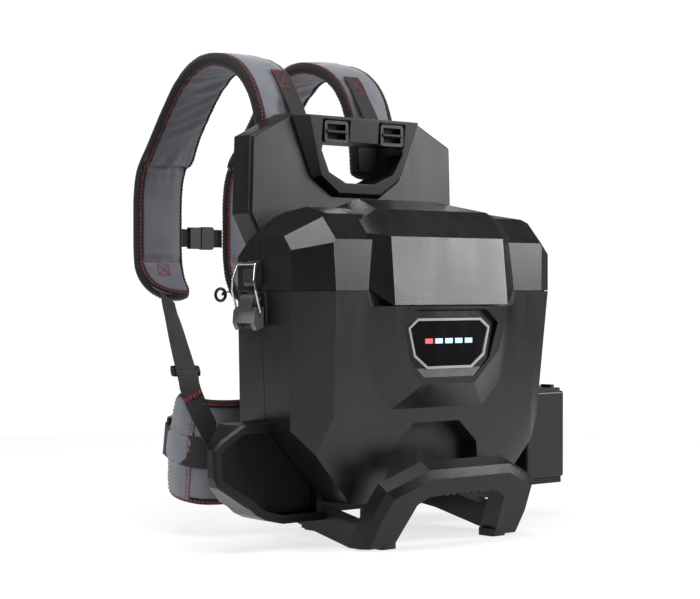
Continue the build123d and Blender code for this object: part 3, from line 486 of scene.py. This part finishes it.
class Pad:
    """A stuffed band on a ribbon: crowned between its edges, drawn in at seams, with bound edges.

    low and high give the edges by length; tape is the binding's width on each of them.  A seam is its
    place, its depth and the one side that it shows on, or 0 for both.  A crease is its place, reach,
    size, count and side: a count above zero makes folds along the pad, one below zero slanting folds
    across it.  sweep is the edge, the reach and the amount that rounds the far end off to one side.
    swell is the place, width, height and side of a roll of cloth.
    """

    def __init__(self, name, ribbon, low, high, thick, edge, round_start, round_end, tape,
                 seams=(), creases=(), folds=0.0006, sweep=None, swell=None):
        self.name, self.ribbon, self.tape = name, ribbon, tape
        self.seed = own_number(name)
        self.low, self.high = low, high
        self.thick, self.edge = thick, edge
        self.round_start, self.round_end = round_start, round_end
        self.seams, self.creases, self.folds = seams, creases, folds
        self.sweep, self.swell = sweep, swell

    def narrow(self, s):
        """Share of the half width that is left near a rounded end."""
        ends = [(self.round_start, s)]
        if not self.sweep:
            ends.append((self.round_end, self.ribbon.length - s))
        for reach, distance in ends:
            if distance < reach:
                q = 1 - max(distance, 0.0) / reach
                return max(1 - q ** ROUND_POWER, 0.0) ** (1 / ROUND_POWER)
        return 1.0

    def limits(self, s):
        """The pad's two edges across the ribbon."""
        low, high = self.low(s), self.high(s)
        middle = (low + high) / 2
        half = (high - low) / 2 * max(self.narrow(s), LEAST_WIDTH)
        low, high = middle - half, middle + half
        if self.sweep:
            edge, reach, amount = self.sweep
            left = max(self.ribbon.length - s, 0.0)
            long_cut = amount * quarter_round(left, reach)
            short_cut = SHORT_CORNER[1] * quarter_round(left, SHORT_CORNER[0])
            low += long_cut if edge < 0 else short_cut
            high -= short_cut if edge < 0 else long_cut
        return low, high

    def fold(self, s, v, u, crease):
        """Depth of one crease: thin valleys where a noise passes through zero."""
        place, reach, size, count = crease[:4]
        if count < 0:
            near = bell(s - place, reach)
            slant = s + 0.55 * v + 0.004 * noise.noise(Vector((v * 60, s * 30, 1.7)))
            wave = noise.noise(Vector((v * 9, slant * -count, place * 40)))
        else:
            near = math.exp(-abs(s - place) / reach)
            wave = noise.noise(Vector((u * 3.1 * count / 6, v * 90 * count / 6, place * 40 + s * 14)))
        return size * near * max(1 - abs(wave) * CREASE_SHARPNESS, 0.0)

    def height(self, s, v, side):
        """Distance of the cloth from the pad's middle surface, on one side."""
        low, high = self.limits(s)
        u = min(abs((v - (low + high) / 2) / ((high - low) / 2)), 1.0)
        crown = max(1 - u ** CROWN_POWER, 0.0) ** CROWN_ROUND
        ends = 1.0
        for reach, distance in ((self.round_start, s), (self.round_end, self.ribbon.length - s)):
            if distance < reach:
                ends = min(ends, max(1 - (1 - max(distance, 0.0) / reach) ** CROWN_POWER, 0.0) ** 0.5)
        fill = crown * ends
        for place, depth, only in self.seams:
            if not only or only == side:
                fill *= 1 - depth * bell(s - place, SEAM_WIDTH)
        height = self.edge + (self.thick - self.edge) * fill
        if self.swell and self.swell[3] == side:
            height += self.swell[2] * bell(s - self.swell[0], self.swell[1]) * crown
        for crease in self.creases:
            if crease[4] == side:
                height -= self.fold(s, v, u, crease) * crown
        soft = noise.noise(Vector((s * 22, v * 30, side * 7.3 + self.seed)))
        small = noise.noise(Vector((s * 75, v * 60, side * 3.1 + self.seed)))
        return height + (soft * 1.2 + small * 0.5) * self.folds * crown

    def on(self, s, v, side, lift=0.0):
        """Point on the cloth of one side, or lifted off it."""
        return self.ribbon.point(s, v, side * (self.height(s, v, side) + lift))

    def body(self, outer, inner):
        """Closed mesh of the pad: one side in the outer cloth, the other in the inner."""
        rings = max(24, round(self.ribbon.length / PAD_RING_STEP))
        vertices, uvs = [], []
        for ring in range(rings + 1):
            s = self.ribbon.length * ring / rings
            low, high = self.limits(s)
            for side in (1, -1):
                for column in range(PAD_COLUMNS):
                    share = 0.5 - 0.5 * math.cos(math.pi * (column + 0.5) / PAD_COLUMNS)
                    v = low + (high - low) * (share if side > 0 else 1 - share)
                    vertices.append(self.on(s, v, side))
                    uvs.append((s, v))
        around = 2 * PAD_COLUMNS
        faces = tube_faces(rings + 1, around, False)
        places = [face[0] % around for face in faces]
        indices = [0 if place < PAD_COLUMNS - 1 or place == around - 1 else 1 for place in places]
        return make_mesh(self.name + "_cover", vertices, faces, uvs, [outer, inner], indices)

    def outline(self, step=0.004):
        """Points (s, v) round the pad with their outward directions, closer together at its ends."""
        length = self.ribbon.length
        count = round(length / step)
        places = [length * (0.5 - 0.5 * math.cos(math.pi * i / count)) * 0.35 + length * i / count * 0.65
                  for i in range(count + 1)]
        line = [(s, self.limits(s)[0]) for s in places] + [(s, self.limits(s)[1]) for s in reversed(places)]
        result = []
        for index, (s, v) in enumerate(line):
            before, after = line[index - 1], line[(index + 1) % len(line)]
            ds, dv = after[0] - before[0], after[1] - before[1]
            size = math.hypot(ds, dv) or 1.0
            result.append((s, v, dv / size, -ds / size))
        return result

    def tape_width(self, nv):
        """Width of the binding where the outline faces nv across the pad."""
        return (self.tape[0] * (1 - nv) + self.tape[1] * (1 + nv)) / 2

    def binding(self):
        """Folded tape round the edge, sewn on both sides."""
        vertices, uvs = [], []
        outline = self.outline()
        run = 0.0
        for index, (s, v, ns, nv) in enumerate(outline):
            ring = []
            width = self.tape_width(nv)
            for side in (1, -1):
                part = []
                for share, lift in TAPE_STEPS:
                    ps, pv = s - ns * width * share, v - nv * width * share
                    part.append((self.on(ps, pv, side, lift), side * width * share))
                ring += part if side > 0 else part[::-1]
                if side > 0:
                    ring.append((self.ribbon.point(s + ns * TAPE_FOLD, v + nv * TAPE_FOLD, 0.0), 0.0))
            if index:
                run += (vertices[-len(ring)] - ring[0][0]).length
            for position, across in ring:
                vertices.append(position)
                uvs.append((run, across))
        return make_mesh(self.name + "_binding", vertices, tube_faces(len(outline), len(ring), True), uvs,
                         [BINDING])

    def sew_edges(self, sides=(1, -1)):
        """Red stitches along the middle of the binding."""
        for side in sides:
            line = []
            for s, v, ns, nv in self.outline():
                inset = self.tape_width(nv) * 0.5
                line.append(self.on(s - ns * inset, v - nv * inset, side, THREAD_LIFT))
            red.along(line)

    def sew_line(self, s, side, lift=0.0004):
        """Row of stitches across the pad, a little short of both edges."""
        low, high = self.limits(s)
        red.along([self.on(s, low + (high - low) * (0.06 + 0.88 * i / 12), side, lift) for i in range(13)])

    def patch(self, suffix, start, end, side, half):
        """Second layer of cloth over one side between two lengths, raised over the webbing under it."""
        rows, columns = 30, 44
        vertices, uvs, faces = [], [], []
        for row in range(rows + 1):
            s = start + (end - start) * row / rows
            low, high = self.limits(s)
            for column in range(columns + 1):
                v = low + 0.003 + (high - low - 0.006) * column / columns
                vertices.append(self.on(s, v, side, 0.0006 + channel(v, half)))
                uvs.append((v, s))
        for row in range(rows):
            for column in range(columns):
                a = row * (columns + 1) + column
                faces.append((a, a + 1, a + columns + 2, a + columns + 1))
        made = make_mesh(self.name + suffix, vertices, faces, uvs, [PAD_OUTER])
        thickness = made.modifiers.new("cloth_thickness", "SOLIDIFY")
        thickness.thickness = 0.0008
        thickness.offset = 0.0
        return made

    def cross_box(self, s, v, half_s, half_v, side, lift):
        """Square of stitches with a cross in it, sewn through the pad."""
        corners = [(s - half_s, v - half_v), (s + half_s, v - half_v), (s + half_s, v + half_v),
                   (s - half_s, v + half_v)]
        pairs = [(0, 1), (1, 2), (2, 3), (3, 0), (0, 2), (1, 3)]
        for a, b in pairs:
            line = []
            for i in range(7):
                ps = corners[a][0] + (corners[b][0] - corners[a][0]) * i / 6
                pv = corners[a][1] + (corners[b][1] - corners[a][1]) * i / 6
                line.append(self.on(ps, pv, side, lift))
            red.along(line, TACK_LENGTH, 0.0008)


# Mid-lines of the pads in millimetres: shoulder pads in Y and Z, hip pads and their webbing in X and Y.
SHOULDER_LINE = [(200, 442), (206, 500), (221, 545), (249, 577), (290, 594), (336, 595), (379, 574),
                 (414, 537), (448, 494), (473, 462), (481, 430), (482, 386), (481, 345), (474, 314),
                 (456, 288)]
HIP_LINE = [(120.5, 198.5), (145, 197.5), (170, 197), (193, 205), (203, 226), (200, 248), (192, 270)]
HIP_TAIL = [(190, 277), (184, 285), (176, 291)]
SHOULDER_X = 75.0           # middle of a shoulder pad's width
SHOULDER_HALF = 0.0372      # half of its width
GATHER_SWELL = (0.0045, 0.012, 0.026)   # the lining swells sideways: how far, its place and its width
HIP_MIDDLE_Z = 100.5
HIP_HALF = 0.0640
HIP_STRAP_Z = 101.0
HIP_TILT = math.radians(8.5)
HIP_TILT_AXIS = (187.0, 101.0)      # depth and height of the line that the hip pads tilt about
HIP_CHANNEL_HALF = 0.0235   # half width of the raised channel in the end panel


def hip_at(x, y, z):
    """Point on the hip, turned with the hip pads' own tilt."""
    y0, z0 = HIP_TILT_AXIS
    dy, dz = y - y0, z - z0
    return at(x, y0 + dy * math.cos(HIP_TILT) - dz * math.sin(HIP_TILT),
              z0 + dy * math.sin(HIP_TILT) + dz * math.cos(HIP_TILT))


HIP_UP = Vector((0, -math.sin(HIP_TILT), math.cos(HIP_TILT)))


def faced(outward):
    """Cloths for a pad's upper and lower side, with the outer one where outward points."""
    return (PAD_OUTER, PAD_INNER) if outward > 0 else (PAD_INNER, PAD_OUTER)


def shoulder_pad(side_name, sign):
    """Shoulder pad: gathered lining over the shoulder, seams down the chest, bound and stitched edges."""
    ribbon = Ribbon([at(sign * SHOULDER_X, y, z) for y, z in SHOULDER_LINE], ACROSS_X)
    length = ribbon.length
    outward = 1 if ribbon.frame_at(length * 0.35)[2].z > 0 else -1
    inner = -outward
    gather = length * 0.69      # seam under the gathered lining
    lower = length * 0.908      # seam above the pad's tip
    tape = (0.0088, 0.0050) if sign < 0 else (0.0050, 0.0088)

    def wide(s):
        """Half width on the pad's inner edge, where the gathered lining swells above its seam."""
        amount, above, width = GATHER_SWELL
        return SHOULDER_HALF + (amount * bell(s - gather + above, width) if s < gather else 0.0)

    low, high = lambda s: -SHOULDER_HALF, wide
    if sign > 0:
        low, high = lambda s: -wide(s), lambda s: SHOULDER_HALF
    pad = Pad("shoulder_pad_" + side_name, ribbon, low, high, thick=0.0104, edge=0.0032,
              round_start=0.012, round_end=0.014, tape=tape,
              seams=[(gather, 0.95, inner), (lower, 0.5, inner), (length * 0.47, 0.35, outward)],
              creases=[(gather - 0.012, 0.022, 0.0045, 16, inner), (length * 0.44, 0.055, 0.0042, -62, inner),
                       (length * 0.56, 0.04, 0.0026, -48, inner), (lower, 0.007, 0.0020, 13, inner),
                       (length * 0.13, 0.035, 0.0018, -55, outward)],
              folds=0.0009, sweep=(sign, 0.056, 0.050), swell=(gather - 0.013, 0.012, 0.0022, inner))
    cover = keep(pad.body(*faced(outward)), "pad_nylon", "shoulder_pad_" + side_name)
    keep(pad.binding(), "webbing")
    pad.sew_edges()
    pad.sew_line(lower, inner)
    pad.cross_box(lower + 0.013, 0.0, half_s=0.009, half_v=0.009, side=inner, lift=0.0004)
    pad.cross_box(length * 0.2, -sign * 0.015, half_s=0.0125, half_v=0.0115, side=outward, lift=0.0036)


def hip_pad(side_name, sign):
    """Hip pad with bound edges, and a panel sewn over the end of its webbing."""
    ribbon = Ribbon([hip_at(sign * x, y, HIP_MIDDLE_Z) for x, y in HIP_LINE], HIP_UP)
    length = ribbon.length
    outward = 1 if ribbon.frame_at(length - 0.01)[2].x * sign > 0 else -1
    seam = length * 0.60
    pad = Pad("hip_pad_" + side_name, ribbon, lambda s: -HIP_HALF, lambda s: HIP_HALF, thick=0.0088,
              edge=0.003, round_start=0.004, round_end=0.022, tape=(0.0075, 0.0075),
              seams=[(seam, 0.3, outward), (length * 0.3, 0.35, -outward)],
              creases=[(seam, 0.02, 0.0010, 9, outward)], folds=0.0010)
    cover = keep(pad.body(*faced(outward)), "pad_nylon", "hip_pad_" + side_name)
    keep(pad.binding(), "webbing")
    pad.sew_edges()
    keep(pad.patch("_end_panel", seam, length - 0.005, outward, HIP_CHANNEL_HALF), "pad_nylon")
    heights = [-HIP_HALF * 0.9 + HIP_HALF * 1.8 * i / 24 for i in range(25)]
    for inset in (0.0012, 0.0042):
        red.along([pad.on(seam + inset, v, outward, 0.0010 + channel(v, HIP_CHANNEL_HALF)) for v in heights])


def flat_pad(name, half, low_z, high_z, thick, front_y, ribs):
    """Pad on the back plate between two heights: crowned towards the wearer, with sewn channels."""
    line = [at(0, front_y, low_z), at(0, front_y, (low_z + high_z) / 2), at(0, front_y, high_z)]
    ribbon = Ribbon(line, ACROSS_X)
    length = ribbon.length
    facing = 1 if ribbon.frame_at(0.05)[2].y > 0 else -1
    seams = [(length * (i + 1) / (ribs + 1), 0.6, facing) for i in range(ribs)]
    pad = Pad(name, ribbon, lambda s: -half, lambda s: half, thick, edge=0.003, round_start=0.02,
              round_end=0.02, tape=(0.008, 0.008), seams=seams)
    cover = keep(pad.body(BACK_MESH, BACK_MESH), "back_mesh", name)
    keep(pad.binding(), "webbing")
    pad.sew_edges(sides=(facing,))
    for seam in seams:
        pad.sew_line(seam[0], facing, lift=0.0002)


# ---- Webbing ----

WEBBING_WIDTH = 0.025
HIP_WEBBING_WIDTH = 0.038
HIP_STRAP_LIFT = 0.0108     # middle of the hip webbing, out from the hip pad's middle surface
HIP_STRAP_STEPS = 16
LIFTER_X = 60
TAIL_X = 45.5
CHEST_Z = 372
X_WISE, Y_WISE, Z_WISE = (1, 0, 0), (0, 1, 0), (0, 0, 1)
LEVEL = (0.875, 0.483, 0)   # across the lower strap, level with the floor

# Straps of the right side: points in millimetres, each with the direction of the strap's width.
LIFTER_STRAP = [((LIFTER_X, y, z), X_WISE) for y, z in
                ((188.2, 498), (188.2, 516), (196, 531), (209, 550), (219.5, 566), (231, 579))]
TIP_STRAP = [((78, 453.5, 288.5), (0.8, 0.15, 0.58)), ((90, 430.5, 274), (0.8, 0.18, 0.5)),
             ((110, 393, 258.5), (0.84, 0.3, 0.25)), ((140, 338.5, 235), (0.87, 0.45, 0.05)),
             ((165, 293, 216.5), LEVEL), ((182, 262.2, 204.8), LEVEL), ((188.5, 250.3, 200.9), LEVEL)]
LOWER_STRAP = [((189.2, 249.1, 200.4), LEVEL), ((196, 237, 196), (0.82, 0.53, -0.12)),
               ((203.5, 223.5, 190.5), (0.72, 0.58, -0.34)), ((209.5, 212.5, 182.5), (0.63, 0.6, -0.5)),
               ((208.7, 204, 167), (0.66, 0.58, -0.47)), ((204, 196.5, 150), (0.77, 0.43, -0.46)),
               ((197, 191.3, 133), (0.86, 0.22, -0.46)), ((191, 189.3, 119), (0.88, 0.1, -0.46))]
CHEST_STRAP = [((x, y, CHEST_Z), Z_WISE) for x, y in ((20.4, 487), (29, 487.4), (36.8, 487))]
LIFTER_TAIL = [((TAIL_X, y, z), X_WISE) for y, z in ((141.2, 484.2), (141.3, 495), (141.2, 506.8))]
RING_TAPE = [((30, 474, 292), Y_WISE), ((32, 474, 296.4), Y_WISE), ((39, 472, 297), (0, 1, 0.2)),
             ((50, 467, 298), (0, 1, 0.3))]

# Bar tack on the lower strap: its middle, half its length across the strap, and the step between rows.
TACK_MIDDLE = (210.9, 205.3, 173.2)
TACK_HALF = (0.62 * 0.0118, 0.6 * 0.0118, -0.52 * 0.0118)
TACK_ROW_STEP = Vector((0, -0.0004, -0.0013))
TACK_ROWS = 4


def strap(name, keys, width, replaced=(), thick=0.0020, step=0.004):
    """Webbing through key points, each with its own width direction; the weave has raised selvedges."""
    centres, total = smooth_line([at(*point) for point, direction in keys], step)
    directions = smooth_line([Vector(direction).normalized() for point, direction in keys], 0.01)[0]
    half = width / 2
    section = [(-half, 0.3), (-half, -0.3), (-half + 0.0008, -0.56), (-half + 0.0022, -0.5), (0.0, -0.46),
               (half - 0.0022, -0.5), (half - 0.0008, -0.56), (half, -0.3), (half, 0.3),
               (half - 0.0008, 0.56), (half - 0.0022, 0.5), (0.0, 0.46), (-half + 0.0022, 0.5),
               (-half + 0.0008, 0.56)]
    vertices, uvs = [], []
    last = len(centres) - 1
    for index, centre in enumerate(centres):
        run = (centres[min(index + 1, last)] - centres[max(index - 1, 0)]).normalized()
        place = index / last * (len(directions) - 1)
        low = min(int(place), len(directions) - 2)
        across = directions[low].lerp(directions[low + 1], place - low)
        across = (across - run * across.dot(run)).normalized()
        normal = run.cross(across)
        for v, h in section:
            vertices.append(centre + across * v + normal * h * thick)
            uvs.append((total * index / last, v))
    faces = tube_faces(len(centres), len(section), False)
    keep(make_mesh(name, vertices, faces, uvs, [WEBBING]), "webbing", *replaced)


def mirrored(keys, sign):
    """Keys of a strap on the right, or their mirror image on the left."""
    return [((sign * x, y, z), (sign * a, b, c)) for (x, y, z), (a, b, c) in keys]


def pair_strap(name, side_name, sign, keys, node):
    """One strap of a pair whose CAD node holds both; the left one stands for the node."""
    strap(name + "_" + side_name, mirrored(keys, sign), WEBBING_WIDTH, (node,) if sign < 0 else ())


def bar_tack(sign):
    """Short rows of stitches across the lower strap, where it passes over the hip pad's edge."""
    x, y, z = TACK_MIDDLE
    middle = at(sign * x, y, z)
    half = Vector((sign * TACK_HALF[0], TACK_HALF[1], TACK_HALF[2]))
    for row in range(TACK_ROWS):
        shift = TACK_ROW_STEP * row
        red.along([middle - half + shift, middle + shift, middle + half + shift], TACK_LENGTH, 0.0004)


def hip_strap(side_name, sign):
    """Webbing that follows the hip pad and runs on past its end to the buckle."""
    ribbon = Ribbon([hip_at(sign * x, y, HIP_STRAP_Z) for x, y in HIP_LINE[1:-1] + HIP_TAIL], HIP_UP)
    facing = 1 if ribbon.frame_at(ribbon.length * 0.8)[2].x * sign > 0 else -1
    run = [ribbon.point(ribbon.length * i / HIP_STRAP_STEPS, 0, facing * HIP_STRAP_LIFT)
           for i in range(HIP_STRAP_STEPS + 1)]
    keys = [((p.x / MM, p.y / MM + ORIGIN_Y, p.z / MM), HIP_UP) for p in run]
    strap("hip_strap_" + side_name, keys, HIP_WEBBING_WIDTH, ("hip_strap_" + side_name,))


for side_name, sign in SIDES:
    shoulder_pad(side_name, sign)
    hip_pad(side_name, sign)
flat_pad("back_pad", half=0.0985, low_z=196.5, high_z=427.5, thick=0.0096, front_y=196, ribs=3)
flat_pad("lumbar_pad", half=0.1065, low_z=62.5, high_z=185.5, thick=0.0105, front_y=197, ribs=2)

for side_name, sign in SIDES:
    strap("lifter_strap_" + side_name, mirrored(LIFTER_STRAP, sign), WEBBING_WIDTH,
          ("lifter_strap_" + side_name,))
    pair_strap("tip_strap", side_name, sign, TIP_STRAP, "tip_straps")
    pair_strap("lower_strap", side_name, sign, LOWER_STRAP, "lower_straps")
    bar_tack(sign)
    pair_strap("chest_strap", side_name, sign, CHEST_STRAP, "chest_straps")
    pair_strap("lifter_tail", side_name, sign, LIFTER_TAIL, "lifter_tails")
    hip_strap(side_name, sign)
strap("ring_loop_tape", RING_TAPE, 0.008, ("ring_loop",), thick=0.0012, step=0.001)
red.build("red_stitching")


# ---- Setting: pale floor, camera and soft light ----

def floor_material():
    """Pale seamless floor that glows a little of its own, so that only soft shadows show on it."""
    made, tree, shader = new_material("pale_floor")
    place = add_node(tree, "TexCoord").outputs["Object"]
    speck = texture(tree, "TexNoise", place, 3.0, detail=2.0)
    tree.links.new(mixed(tree, speck, (0.24, 0.24, 0.24, 1), (0.27, 0.27, 0.27, 1)),
                   shader.inputs["Base Color"])
    shader.inputs["Roughness"].default_value = 0.9
    shader.inputs["Specular IOR Level"].default_value = 0.1
    shader.inputs["Emission Color"].default_value = (1, 1, 1, 1)
    shader.inputs["Emission Strength"].default_value = 0.74
    return made


FLOOR_RADIUS = 1.5
FLOOR_SIDES = 64
turns = [i * math.pi / (FLOOR_SIDES // 2) for i in range(FLOOR_SIDES)]
rim = [(FLOOR_RADIUS * math.cos(turn), FLOOR_RADIUS * math.sin(turn), 0) for turn in turns]
floor = make_mesh("floor", rim, [tuple(range(FLOOR_SIDES))], [(x, y) for x, y, z in rim], [floor_material()],
                  smooth=False)

CAMERA_PLACE = (-1461.85, -1581.49, 302.01)
CAMERA_TURN = (90 - 0.356, 0.0, -40.0)     # degrees about X, Y and Z

camera = bpy.data.objects.new("camera", bpy.data.cameras.new("camera"))
bpy.context.scene.collection.objects.link(camera)
camera.data.sensor_width = 36.0
camera.data.lens = 92.63
camera.data.clip_end = 200.0
camera.location = at(*CAMERA_PLACE)
camera.rotation_euler = [math.radians(turn) for turn in CAMERA_TURN]
bpy.context.scene.camera = camera


def area_light(name, place, width, height, power):
    """Soft rectangular light aimed at the object, and not seen by the camera itself."""
    data = bpy.data.lights.new(name, "AREA")
    data.shape = "RECTANGLE"
    data.size, data.size_y, data.energy = width, height, power
    made = bpy.data.objects.new(name, data)
    bpy.context.scene.collection.objects.link(made)
    made.location = place
    made.rotation_euler = (Vector(AIM) - Vector(place)).to_track_quat("-Z", "Y").to_euler()
    made.visible_camera = False


AIM = (0.0, -0.05, 0.3)
# Name, place, width, height and power in watts.
LIGHTS = (("overhead", (-0.5, -0.5, 2.3), 1.5, 1.0, 42), ("key_right", (1.85, -1.65, 1.15), 1.0, 1.15, 66),
          ("fill_left", (-2.3, 0.2, 1.4), 0.9, 1.2, 30), ("rear_right", (1.3, 2.0, 1.5), 1.4, 0.8, 14))
for light in LIGHTS:
    area_light(*light)

# The surroundings look white, but light the object and show in its gloss only a little.
world = bpy.data.worlds.new("studio")
bpy.context.scene.world = world
world.use_nodes = True
studio = world.node_tree
seen = studio.nodes.new("ShaderNodeLightPath").outputs["Is Camera Ray"]
glow = studio.nodes.new("ShaderNodeMapRange")
studio.links.new(seen, glow.inputs["Value"])
glow.inputs["To Min"].default_value = 0.10
glow.inputs["To Max"].default_value = 1.05
studio.nodes["Background"].inputs["Color"].default_value = (1, 1, 1, 1)
studio.links.new(glow.outputs["Result"], studio.nodes["Background"].inputs["Strength"])
bpy.context.scene.view_settings.view_transform = "Standard"
